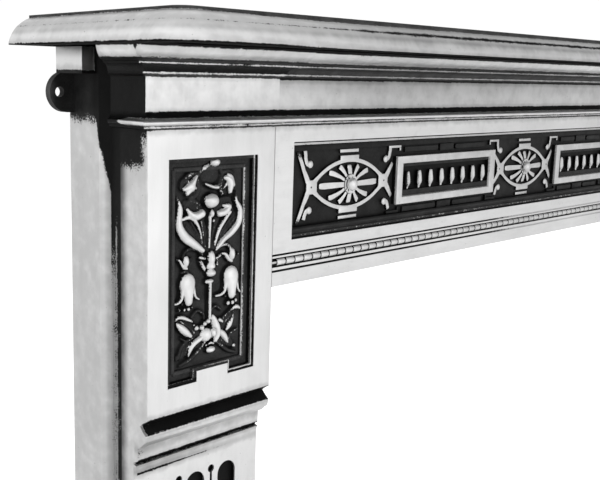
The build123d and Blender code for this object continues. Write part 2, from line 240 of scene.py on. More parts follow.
def iron_material(name, proud, ragged=0.3, strokes=(1, 1, 1), black=0.004, tarnish_and_painted_light=None, rubbing_and_painted_light=None,
                  metal=0.93, matt=0.0):
    """Cast iron, polished where proud(across, deep, drop) is above zero.

    Those are millimetres inwards from the surround's outer face, back from the legs' front and
    below the shelf's seat; the two halves of the surround are alike. Without proud, the mesh's own
    "proud" mark is used, and its mark of painted shade darkens the black on sides and in hollows.
    The tarnish argument gives, at (across, deep, drop), how much the polish is dimmed by real dulling
    and by painted shade, and below zero brightened, on some mouldings as a painted highlight; the
    rubbed argument gives how much paler than plain the black is, from rubbing and from painted sheen
    and painted fill light.
    """
    material = bpy.data.materials.new(name)
    material.use_nodes = True
    tree = material.node_tree
    shader = tree.nodes["Principled BSDF"]
    shader.inputs["IOR"].default_value = 1.45
    shader.inputs["Specular IOR Level"].default_value = 0.11
    where = tree.nodes.new("ShaderNodeTexCoord").outputs["Object"]
    parts = tree.nodes.new("ShaderNodeSeparateXYZ")
    tree.links.new(where, parts.inputs[0])
    x, y, z = (Value(tree, socket) for socket in parts.outputs)
    across = abs(x) * -1000 + HALF_WIDTH * 1000
    deep = (y - FACE) * 1000
    drop = z * -1000 + SEAT * 1000
    edge = tree.nodes.new("ShaderNodeGroup")
    edge.node_tree = POLISH_EDGE
    edge.inputs["Raggedness"].default_value = ragged
    tree.links.new(where, edge.inputs["Coordinates"])
    distance = proud(across, deep, drop) if proud else marked(tree, "proud")
    plug(tree, distance, edge.inputs["Distance"])
    finish = tree.nodes.new("ShaderNodeGroup")
    finish.node_tree = CAST_IRON
    for slot, value in (("Strokes", strokes), ("Black", black), ("Metal", metal), ("Matt", matt)):
        finish.inputs[slot].default_value = value
    # The rubbed function pales the black by rubbing, by painted sheen and by painted fill light.
    if rubbing_and_painted_light:
        plug(tree, rubbing_and_painted_light(across, deep, drop) + black, finish.inputs["Black"])
    # The mesh's mark of painted shade darkens the black on sides and in hollows.
    if not proud:
        plug(tree, marked(tree, "painted_shade") * -black + black, finish.inputs["Black"])
    dulling_and_painted_light = Value(tree, edge.outputs["Residue"])
    # The tarnish function adds real dulling, painted shade and, below zero, painted highlights.
    if tarnish_and_painted_light:
        dulling_and_painted_light = dulling_and_painted_light + tarnish_and_painted_light(across, deep, drop)
    plug(tree, dulling_and_painted_light, finish.inputs["Tarnish_and_painted_light"])
    tree.links.new(where, finish.inputs["Coordinates"])
    tree.links.new(edge.outputs["Polish"], finish.inputs["Polish"])
    for made, slot in (("Color", "Base Color"), ("Metallic", "Metallic"), ("Roughness", "Roughness"),
                       ("Normal", "Normal")):
        tree.links.new(finish.outputs[made], shader.inputs[slot])
    return material


def marked(tree, name):
    """A number written on the mesh."""
    mark = tree.nodes.new("ShaderNodeAttribute")
    mark.attribute_name = name
    return Value(tree, mark.outputs["Fac"])


def bands_proud(bands, deep, drop):
    """Distance inside any of several horizontal bands, each polished only so far back."""
    distances = []
    for top, foot, back in bands:
        band = drop.within(top, foot)
        if back > 0:
            distances.append(band + (back - deep - 7).least(0.0) * 0.45)
        else:
            distances.append(band.least((back - deep) * 3.0))
    return distances[0].most(*distances[1:])


def leg_proud(across, deep, drop):
    """Cornice, flat face round the panel, moulding, fluted shaft, outer side and top block."""
    mitre = abs(across - deep) * 0.5 - 0.9 + (drop - 0.4) * 0.25
    cornice = bands_proud(LEG_CORNICE_BANDS, deep, drop).least(mitre.most((drop - 9) * 3))
    die = drop.within(BODY_TOP, 255.5).least((0.7 - deep) * 8)
    inner_edge = drop.within(BODY_TOP, 255.5).least((across - 116.8) * 4, 5 - deep)
    beyond_tab = (abs(across - 60) - 15).most(228.5 - drop)
    margin = (101.6 - across).least(236.5 - drop, beyond_tab)
    arris = margin.within(1.5, 3.3).least(deep.within(0.7, 2.9))
    wall = arris - across.ramp(25, 75, 0.9, 0.0) - drop.ramp(110, 150, 0.3, 0.0)
    blot = abs(drop - 284) * 0.14 + across * 0.10 - 0.45
    moulding = drop.within(267.3, 289.2).least((13.5 - deep) * 3, blot)
    worn = abs(drop - 300.3) - 0.5 + across.ramp(0, 115, -0.35, 0.85)
    shaft = (drop - 292.8).least((drop.ramp(979, 993, 15.2, 3.0) - deep) * 4, worn)
    front = die.most(inner_edge, wall, moulding, shaft)
    block = drop.within(-1, 16.0).least(-1 - across, deep - 50)
    return cornice.most(front, side_proud(across, deep, drop), block)


def side_proud(across, deep, drop):
    """Outer side: its face and back strip are polished below a speckled edge."""
    outside = (2.0 - abs(across)).least((deep + 1) * 2)
    low = (drop - 80.5 + (28 - deep) * 0.12) * 0.11
    streak = ((8 - deep) * 0.10).least((drop - 56) * 0.05) - 0.36
    face = outside.least((30.4 - deep) * 1.5, low.most(streak))
    climb = (59 - deep).most(0.0) * 5.2
    strip = (deep.ramp(49, 57, 7.0, 1.2) - across).least((deep - 49.5) * 2, (drop - 50.5 - climb) * 0.13)
    floor = deep.ramp(38, 49.5, -0.6, 0.45).least((drop - 150) * 0.02)
    worn_line = deep.within(42.4, 45.4).least((drop - 118) * 0.1) * 0.5 - 0.3
    groove = floor.most(worn_line).least(across * -2 + 15, 52 - deep)
    return face.most(strip, groove)


def leg_painted_shade_and_highlight(across, deep, drop):
    """Painted shade beside the groove, under the moulding and at the top of the block under the shelf, grey
    over the moulding's crease, and a painted highlight on the cornice's bead.
    """
    # Painted shade: the outer side darkens towards the groove.
    beside = deep.ramp(20, 30, 0.0, 0.62) * deep.ramp(49, 54, 1.0, 0.0) * across.ramp(1.5, 5.5, 1.0, 0.45)
    crease = drop.within(274, 288).ramp(0, 7, 0.0, 0.26) * deep.ramp(13, 16, 1.0, 0.0)
    # Painted shade on the shaft just under the moulding.
    under = drop.within(292, 303).ramp(0, 5, 0.0, 0.3) * across.ramp(20, 110, 1.0, 0.2)
    # Painted shade at the top of the block, under the shelf.
    block = drop.ramp(2, 9, 0.42, 0.0) * deep.ramp(50, 55)
    # Painted highlight: the cornice's bead is brightened.
    cornice = drop.ramp(51, 53, -0.2, 0.0) * deep.ramp(0, 4, 1.0, 0.0)
    return beside.most(crease, under * deep.ramp(14, 17, 1.0, 0.0), block) + cornice


def leg_painted_sheen_and_fill(across, deep, drop):
    """Paler black: on the panel's border, thinned by rubbing and painted with a soft sheen, and on the lug
    a painted fill light for the shade of shelf and leg, paler at its rim.
    """
    panel = across.within(18.0, 98.4).least(drop.within(74.0, 233.9)).ramp(0, 0.5)
    # Painted sheen on the border's slopes, with the black thinned by rubbing.
    border = deep.within(0.9, 6.4).ramp(0, 0.3, 0.0, 0.03) * panel
    # Painted fill light on the shaded lug, paler still at its rim.
    lug = (-14 - across).ramp(0, 9, 0.012, 0.07) * deep.ramp(60, 70)
    return border.most(lug)


def header_grey_and_painted_shade(across, deep, drop):
    """Grey in the cornice's hollow, on the frieze's foot rail and, fainter, on its ground, which stays dark
    next to the legs as painted shade.
    """
    hollow = drop.within(11.0, 20.0).ramp(0, 3.5, 0.0, 0.045)
    foot = drop.within(134.0, 142.0).ramp(0, 2.0, 0.0, 0.028)
    # Painted shade: next to the legs the ground is left dark.
    ground = drop.within(69.0, 134.0).ramp(0, 3.0, 0.0, 0.012) * across.ramp(133, 150)
    return hollow.most(foot, ground)


def header_dulling_and_painted_light(across, deep, drop):
    """The fascia dulls away from the legs; painted shade darkens its top under the cornice and a painted
    highlight lightens its lower part, and painted highlights brighten the ovolo and the bead.
    """
    fascia = drop.within(-5, 44).ramp(0, 3, 0.0, 0.2) * across.ramp(110, 230)
    fascia = fascia * across.ramp(300, 560, 1.0, 0.4)
    # Painted shade at the fascia's top, a painted highlight lower down.
    shade = drop.ramp(20, 36, 0.16, -0.12) * drop.ramp(43, 46, 1.0, 0.0) * drop.ramp(17, 19)
    # Painted highlight on the ovolo.
    ovolo = drop.ramp(7.5, 9.5, -0.28, 0.0)
    # Painted highlight on the bead.
    bead = drop.within(44, 51.5).ramp(0, 0.5, 0.0, -0.25)
    return fascia + shade + ovolo + bead


def shelf_rubbed(across, deep, drop):
    """The rim above the polish is grey."""
    return drop.ramp(-17.5, -16.0, 0.05, 0.0)


def shelf_painted_shade(across, deep, drop):
    """Painted shade on the shelf's front, deepening away from the corner, with a long grey band along it
    and a darker strip just below the rim.
    """
    band = (drop + 8.5).within(-2.4, 2.4).ramp(0, 2.4, 0.0, 0.13)
    # Painted shade: the front darkens away from the corner.
    away = across.ramp(30, 170, 0.0, 0.22)
    rim = (drop + 16.5).within(-3.5, 1.5).ramp(0, 1.5, 0.0, 0.16) * across.ramp(0, 90)
    return (away + band).most(rim + away)


def header_proud(across, deep, drop):
    """Cornice, flat face round the frieze, foot mouldings and the frieze's rails."""
    cornice = bands_proud(HEADER_CORNICE_BANDS, deep, drop)
    face = (drop - BODY_TOP).least((1.6 - deep) * 6)
    fading = (drop - 143).least((across.ramp(260, 620, 1.6, 2.35) - deep) * 6)
    rail = drop.within(67.6, 69.6)
    worn_rail = drop.within(138.4, 141.3) * 0.3 - 0.6
    rails = rail.most(worn_rail).least(2.6 - deep)
    return cornice.most(face, fading, rails)


def shelf_proud(across, deep, drop):
    """All of the edge but its rim, and a worn line along the front."""
    rim = across.ramp(-60, 90, -18.9, -17.2)
    low = across.ramp(10, 200, -0.9, 1.6) - across.ramp(330, 520, 0.0, 1.4)
    outside = (-69 - deep).most(-27 - across)
    edge = (drop - rim).least(low - drop, (-0.12 - drop) * 12, outside)
    worn = across.ramp(10, 190, -0.3, 1.0)
    line = (abs(drop + 12.6) - worn) * 0.55
    return edge.least(line)


# Ornament ---------------------------------------------------------------------------------------
# Lines of the frieze, in millimetres: (across from the middle, up from it, half width, depth of top)

FRIEZE_DEPTH = 6.0
FRIEZE_GROUND = FRIEZE_DEPTH + HEADER_SET_BACK / MM
FRIEZE_ROOT = FRIEZE_GROUND + 0.2
FRIEZE_MIDDLE = 103.6
STRAP_TOP = 4.4
SLIP_TOP = 4.9
SLIP_HALF = 2.3
ROSETTE_PLACES = (-392.0, -118.1, 118.1, 392.0)
OUTER_PLACE = 390
INNER_STRETCH = 0.965
RING_RADIUS = 63.8
RING_RISE = 19.6
CROSSING = 46.0
FRAME_REACH = 60.2
FRAME_TOP = 0.9
FRAME_FOOT = -21.9
FRAME_HEAD = 19.9
FRAME_BAND = 6.2
BUD_PITCH = 16.9
BILLET_MIDDLE = 158.65
BILLET_SPACING = 10.05


def smooth_line(points, steps=6):
    """Points of a Catmull-Rom line through tuples of any length."""
    row = [points[0], *points, points[-1]]
    line = []
    for a, b, c, d in zip(row, row[1:], row[2:], row[3:]):
        for step in range(steps):
            t = step / steps
            line.append(tuple(
                0.5 * (2 * q + (r - p) * t + (2 * p - 5 * q + 4 * r - s) * t * t
                       + (3 * q - p - 3 * r + s) * t ** 3)
                for p, q, r, s in zip(a, b, c, d)))
    return line + [points[-1]]


def add_piece(name, mesh, material):
    """Puts a finished mesh on the surround."""
    mesh.materials.append(material)
    piece = bpy.data.objects.new(name, mesh)
    bpy.context.scene.collection.objects.link(piece)
    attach(piece, "root")
    return piece


def front_face(verts):
    """The foremost face at any of these corners."""
    faces = {face for vert in verts for face in vert.link_faces}
    return min(faces, key=lambda face: face.calc_center_median().y)


class Casting:
    """Gathers cast shapes, in millimetres from a moving middle, into one piece."""

    def __init__(self, name, ground):
        self.name = name
        self.ground = ground
        self.form = bmesh.new()
        self.middle = (0.0, 0.0)
        self.hand = 1
        self.stretch = 1.0

    def move(self, across, drop):
        """Takes the middle to a place across the surround and below the shelf's seat."""
        self.middle = (across * MM, SEAT - drop * MM)

    def place(self, across, deep, up):
        """A point of the shape, in metres."""
        aside = across * self.hand * self.stretch * MM
        return Vector((self.middle[0] + aside, FACE + deep * MM, self.middle[1] + up * MM))

    def strap(self, line, edge=0.35, rounds=2):
        """A strip with an upright side, its top following (across, up, half width, depth) points."""
        last = len(line) - 1
        grid = bmesh.ops.create_grid(self.form, x_segments=last, y_segments=1, size=1)["verts"]
        for vert in grid:
            index = round((vert.co.x + 1) / 2 * last)
            before = line[max(index - 1, 0)]
            after = line[min(index + 1, last)]
            run = Vector((after[0] - before[0], after[1] - before[1])).normalized()
            across, up, half, depth = line[index]
            side = math.copysign(half, vert.co.y)
            vert.co = self.place(across - run.y * side, depth, up + run.x * side)
        top = list({face for vert in grid for face in vert.link_faces})
        sides = {side for face in top for side in face.edges}
        rim = [side for side in sides if len(side.link_faces) == 1]
        foot = bmesh.ops.extrude_face_region(self.form, geom=top, use_keep_orig=True)["geom"]
        for vert in foot:
            if isinstance(vert, bmesh.types.BMVert):
                vert.co.y = FACE + self.ground * MM
        self.round_off(rim, edge, rounds)

    def round_off(self, edges, width, segments):
        """Rounds edges over a width."""
        bmesh.ops.bevel(self.form, geom=edges, offset=width * MM, segments=segments, affect="EDGES",
                        profile=0.5, material=-1)

    def slab(self, left, right, top, edge=0.3):
        """A flat bar between a left corner and the right one opposite."""
        middle = (left[1] + right[1]) / 2
        half = abs(right[1] - left[1]) / 2
        self.strap([(left[0], middle, half, top), (right[0], middle, half, top)], edge)

    def ball(self, across, up, radius, depth, flat=1.0):
        """A ball or a flatter dome, its middle at a depth."""
        seat = Matrix.Translation(self.place(across, depth, up)) @ Matrix.Diagonal((1, flat, 1, 1))
        bmesh.ops.create_uvsphere(self.form, u_segments=18, v_segments=12, radius=radius * MM, matrix=seat)

    def finish(self, material, mark, smooth=35, shade_depth=99):
        """Makes the object, marks each face with how far it stands out of the paint, and marks painted
        shade on faces that turn sideways or lie deep.

        mark gets how deep the face lies, how squarely it faces forwards and where its middle is.
        """
        bmesh.ops.recalc_face_normals(self.form, faces=self.form.faces)
        mesh = bpy.data.meshes.new(self.name)
        for face in self.form.faces:
            face.smooth = True
        for line in self.form.edges:
            line.smooth = line.is_boundary or line.calc_face_angle(0) < math.radians(smooth)
        self.form.to_mesh(mesh)
        self.form.free()
        proud = mesh.attributes.new("proud", "FLOAT", "FACE").data
        painted_shade = mesh.attributes.new("painted_shade", "FLOAT", "FACE").data
        for face in mesh.polygons:
            deep = (face.center.y - FACE) / MM
            proud[face.index].value = mark(deep, -face.normal.y, face.center)
            # Painted shade on faces that turn sideways or lie deep.
            painted_shade[face.index].value = 0.85 if -face.normal.y < 0.4 or deep > shade_depth else 0.0
        return add_piece(self.name, mesh, material)


def rosettes(material):
    """Pointed ring on crossing straps, twelve petals round a boss, and the hooks at its corners."""
    cast = Casting("frieze_rosettes", FRIEZE_ROOT)
    for centre in ROSETTE_PLACES:
        cast.move(centre, FRIEZE_MIDDLE)
        cast.stretch = 1.0 if abs(centre) > OUTER_PLACE else INNER_STRETCH
        for side in (-1, 1):
            cast.hand = side
            for up in (-1, 1):
                outer_end = centre * side > OUTER_PLACE
                ring_strap(cast, up, outer_end)
                corner_hook(cast, up, outer_end)
                for outer, inner in PETALS:
                    petal(cast, outer, inner, up)
            cast.slab((CROSSING - 7.2, -5.7), (CROSSING + 5.0, 5.7), STRAP_TOP - 0.06, 0.5)
            petal(cast, (36.0, 0.0, 2.7), (4.0, 0.0, 1.9), 1)
        cast.hand = 1
        for up in (-1, 1):
            petal(cast, (-0.2, 15.8, 2.7), (0.0, 4.0, 1.9), up)
            cast.slab((-11.5, up * 21.0 - 2.6), (11.5, up * 21.0 + 2.6), STRAP_TOP - 0.1)
            cast.slab((-11.5, up * 27.3 - 1.35), (11.5, up * 27.3 + 1.35), STRAP_TOP + 0.5)
        boss(cast)
    return cast.finish(material, front_marks)


# Petals of a quarter rosette: outer and inner end, each (across, up, half width)
PETALS = (
    ((12.0, 14.7, 2.4), (3.0, 3.6, 0.9)),
    ((24.4, 10.3, 2.4), (4.4, 1.8, 1.0)),
)
# From a petal's outer end to its inner one: (share of its length, share of its width, depth of top)
PETAL_STEPS = (
    (0, 0.6, 4.8),
    (0.06, 0.92, 4.4),
    (0.25, 1.0, 4.0),
    (0.65, 1.0, 3.2),
    (1, 1.0, 2.4),
)


def petal(cast, outer, inner, up):
    """A blunt petal that rises towards the boss."""
    bowed = abs(outer[0]) > 5 and outer[1] > 1
    line = []
    for share, width, depth in PETAL_STEPS:
        half = (outer[2] + (inner[2] - outer[2]) * share) * width
        bow = 1.5 * math.sin(share * math.pi) * bowed
        across = outer[0] + (inner[0] - outer[0]) * share
        rise = outer[1] + (inner[1] - outer[1]) * share + bow
        line.append((across, up * rise, half, depth))
    cast.strap(smooth_line(line, 3), 0.45)


def ring_strap(cast, up, outer_end):
    """Half of one arc of the ring, and the arm that it sends past the crossing."""
    reach = math.asin(CROSSING / RING_RADIUS)
    drop = RING_RADIUS - RING_RISE
    line = []
    for step in range(15):
        angle = reach * step / 14
        half = 1.65 + 0.5 * max(0, step - 11)
        rise = RING_RADIUS * math.cos(angle) - drop
        line.append((RING_RADIUS * math.sin(angle), -up * rise, half, STRAP_TOP))
    arm = (
        (CROSSING, 0.0, 3.0, STRAP_TOP),
        (49.6, up * 5.0, 2.5, STRAP_TOP),
        (54.0, up * 13.0, 1.9, STRAP_TOP),
        (57.2, up * 20.6, 1.7, STRAP_TOP + 0.4),
        (60.5, up * 28.6, 1.4, STRAP_TOP + 1.2),
    )
    if not outer_end:
        arm = (arm[0], arm[1], (53.6, up * 10.0, 2.0, STRAP_TOP), (57.4, up * 14.6, 1.5, STRAP_TOP + 0.8))
    cast.strap(line + smooth_line(arm, 5)[1:])


def corner_hook(cast, up, outer_end):
    """Ball and stem in the corner, with a bar over the next frame's corner."""
    cast.ball(47.3, up * 18.3, 3.1, STRAP_TOP + 0.4, 0.45)
    stop = 29.4 if up > 0 else 25.5
    hook = (
        (47.8, up * 18.2, 2.0, STRAP_TOP),
        (50.6, up * 18.9, 1.9, STRAP_TOP),
        (52.3, up * 22.0, 1.8, STRAP_TOP),
        (53.4, up * stop, 1.7, STRAP_TOP + 0.2),
    )
    cast.strap(smooth_line(hook, 5))
    if not outer_end and up > 0:
        corner_bar(cast, up)


def corner_bar(cast, up):
    """Bar with a turned-down tip over a frame's corner."""
    cast.slab((51.2, up * 27.2), (68.0, up * 29.5), STRAP_TOP)
    cast.slab((66.2, up * 24.6), (68.0, up * 27.3), STRAP_TOP + 0.1)


def boss(cast):
    """Domed middle standing on a flat disc where the petals meet."""
    lean = Matrix.Translation(cast.place(0, 4.2, 0)) @ Matrix.Rotation(math.radians(90), 4, "X")
    verts = bmesh.ops.create_cone(cast.form, cap_ends=True, segments=28, radius1=9.4 * MM, radius2=8.0 * MM,
                                  depth=4.0 * MM, matrix=lean)["verts"]
    front = front_face(verts)
    bmesh.ops.inset_region(cast.form, faces=[front], thickness=1.5 * MM, depth=-0.8 * MM)
    cast.ball(0, 0, 5.4, 1.0, 0.72)


def front_marks(deep, facing, place):
    """Polish on what faces forwards above the ground, black on the sides and round each boss."""
    height = (place.z - SEAT) / MM + FRIEZE_MIDDLE
    away = min(math.hypot(place.x / MM - centre, height) for centre in ROSETTE_PLACES)
    if away < 5.6:
        return 2.0 if deep < 2.1 else -2.0
    return min((facing - 0.42) * 3.0, (5.3 - deep) * 0.9)


def bud_marks(deep, facing, place):
    """The buds next to the outer rosettes are only half polished."""
    shy = max(0.0, (abs(place.x) / MM - 296) / 24)
    return min(facing * 2.4 - 1.1, (5.2 - deep) * 1.2) - shy


def black_marks(deep, facing, place):
    """Black all over."""
    return -2.0


def frames(material, dull):
    """Three picture frames between the rosettes, with a row of upright buds in each."""
    edges = [centre + side * FRAME_REACH for centre in ROSETTE_PLACES for side in (-1, 1)][1:-1]
    cast = Casting("frieze_frames", FRIEZE_ROOT)
    buds = Casting("frieze_buds", FRIEZE_ROOT)
    bars = Casting("frieze_slips", FRIEZE_ROOT)
    for left, right in zip(edges[::2], edges[1::2]):
        middle = (left + right) / 2
        half = (right - left) / 2
        for each in (cast, buds, bars):
            each.move(middle, FRIEZE_MIDDLE)
        picture_frame(cast, half)
        count = round((2 * half - 20) / 17.0)
        for index in range(count):
            bud(buds, (index - (count - 1) / 2) * BUD_PITCH)
        for up in (-1, 1):
            for side in (-1, 1):
                slip(bars, side, up, half)
            bars.slab((-10.6, up * 23.2 - 1.0), (10.6, up * 29.6 - 1.0), SLIP_TOP)
    for centre in ROSETTE_PLACES:
        bars.move(centre, FRIEZE_MIDDLE)
        for side in (-1, 1):
            bars.hand = side
            bars.ball(CROSSING - 0.4, 0, 0.8, STRAP_TOP, 0.4)
            if centre * side < OUTER_PLACE:
                corner_bar(bars, -1)
        bars.hand = 1
    bars.finish(dull, black_marks)
    buds.finish(material, bud_marks)
    shapes = cast.form.verts[:] + cast.form.edges[:] + cast.form.faces[:]
    bmesh.ops.bisect_plane(cast.form, geom=shapes, plane_co=(0, FACE + 3.4 * MM, 0), plane_no=(0, 1, 0))
    # Faces deeper than 3.5 mm get painted shade.
    return cast.finish(material, lambda deep, facing, place: (2.6 - deep) * 0.9, shade_depth=3.5)


def picture_frame(cast, half):
    """A flat frame with a rounded rim; its opening slopes in, most of all at the foot."""
    centre = cast.place(0, (FRAME_TOP + FRIEZE_ROOT) / 2, (FRAME_FOOT + FRAME_HEAD) / 2)
    deep, tall = FRIEZE_ROOT - FRAME_TOP, FRAME_HEAD - FRAME_FOOT
    size = Matrix.Diagonal((2 * half * MM, deep * MM, tall * MM, 1))
    verts = bmesh.ops.create_cube(cast.form, size=1, matrix=Matrix.Translation(centre) @ size)["verts"]
    front = front_face(verts)
    rim = list(front.edges)
    inset(cast, front, FRAME_BAND)
    for vert in front.verts:
        vert.co.x += math.copysign(1.4 * MM, cast.middle[0] - vert.co.x)
    mouth = list(front.edges)
    inset(cast, front, 0.5, -2.4)
    inset(cast, front, 0.05)
    for vert in front.verts:
        vert.co.z += 5.0 * MM * (vert.co.z < cast.middle[1])
        vert.co.z -= 2.6 * MM * (vert.co.z > cast.middle[1])
    inset(cast, front, 0.3, -2.8)
    cast.round_off(rim + mouth, 0.5, 3)


def inset(cast, face, width, rise=0.0):
    """Draws a face's border in by a width and moves the face out or, below zero, in."""
    bmesh.ops.inset_region(cast.form, faces=[face], thickness=width * MM, depth=rise * MM,
                           use_even_offset=True)


BUD_HALF_HEIGHT = 8.3
# Outline of a bud from its foot up: (share of the half height, radius)
BUD_OUTLINE = ((-1.0, 0.0), (-0.97, 1.1), (-0.82, 1.4), (-0.68, 1.5), (-0.5, 2.6), (-0.25, 3.3), (0.1, 3.1),
               (0.5, 2.7), (0.8, 2.3), (0.94, 1.6), (1.0, 0.0))


def bud(cast, across):
    """An upright bud: slim head, full waist and a short stalk."""
    seat = Matrix.Translation(cast.place(across, 4.2, -1.6))
    verts = bmesh.ops.create_uvsphere(cast.form, u_segments=16, v_segments=16, radius=1)["verts"]
    for vert in verts:
        level = vert.co.z
        for (low, start), (high, end) in zip(BUD_OUTLINE, BUD_OUTLINE[1:]):
            if low <= level <= high:
                radius = start + (end - start) * (level - low) / (high - low)
        ring = math.hypot(vert.co.x, vert.co.y) or 1
        aside = vert.co.x / ring * radius * MM
        deep = vert.co.y / ring * radius * 0.95 * MM
        vert.co = seat @ Vector((aside, deep, level * BUD_HALF_HEIGHT * MM))


def slip(cast, side, up, half):
    """A low bar with a rounded end, above or below a frame."""
    cast.hand = side
    inner, outer = 13.5, half - 14.0
    middle = up * 26.3 - 1.0
    line = [(outer, middle, SLIP_HALF, SLIP_TOP)]
    for step in range(7):
        angle = math.radians(15 * step)
        across = inner + SLIP_HALF - SLIP_HALF * math.sin(angle)
        line.append((across, middle, max(SLIP_HALF * math.cos(angle), 0.35), SLIP_TOP))
    cast.strap(line, 0.3, 1)
    cast.hand = 1


def billets(material):
    """Row of short rolls in the channel under the frieze."""
    cast = Casting("billet_row", 3.2)
    length = (HEADER_HIGH.x - HEADER_LOW.x) / MM
    count = round(length / BILLET_SPACING)
    pitch = length / count
    cast.move(0.0, BILLET_MIDDLE)
    lying = Matrix.Rotation(math.radians(90), 4, "Y")
    for index in range(1, count):
        seat = Matrix.Translation(cast.place(index * pitch - length / 2, 3.1, 0)) @ lying
        verts = bmesh.ops.create_cone(cast.form, cap_ends=True, segments=16, radius1=2.75 * MM,
                                      radius2=2.75 * MM, depth=9.0 * MM, matrix=seat)["verts"]
        lines = {line for vert in verts for line in vert.link_edges}
        cast.round_off([line for line in lines if is_end(line)], 0.7, 2)
    return cast.finish(material, lambda deep, facing, place: (facing - 0.35) * 3.0)


def is_end(line):
    """An edge of a billet's round end, not one along it."""
    return abs(line.verts[0].co.x - line.verts[1].co.x) < 0.1 * MM


# Leg panel relief: millimetres (across from the panel's axis, down from its top, half width, height)

PANEL_TOP = 74.5
PANEL_GROUND = 7.0
PANEL_INSET = 28.2
HALF_LEG = LEG_WIDTH / 2 / MM
PANEL_HALF = HALF_LEG - PANEL_INSET
PANEL_LOW = 9.8
PANEL_FOOT = 152.2
SHEET_HALF = 35.0
SHEET_TOP = 0.6
RELIEF_STEP = 0.5
# How far the painted shade reaches round the relief, in millimetres.
SHADE_REACH = 1.5
POLISHED_RISE = 3.1

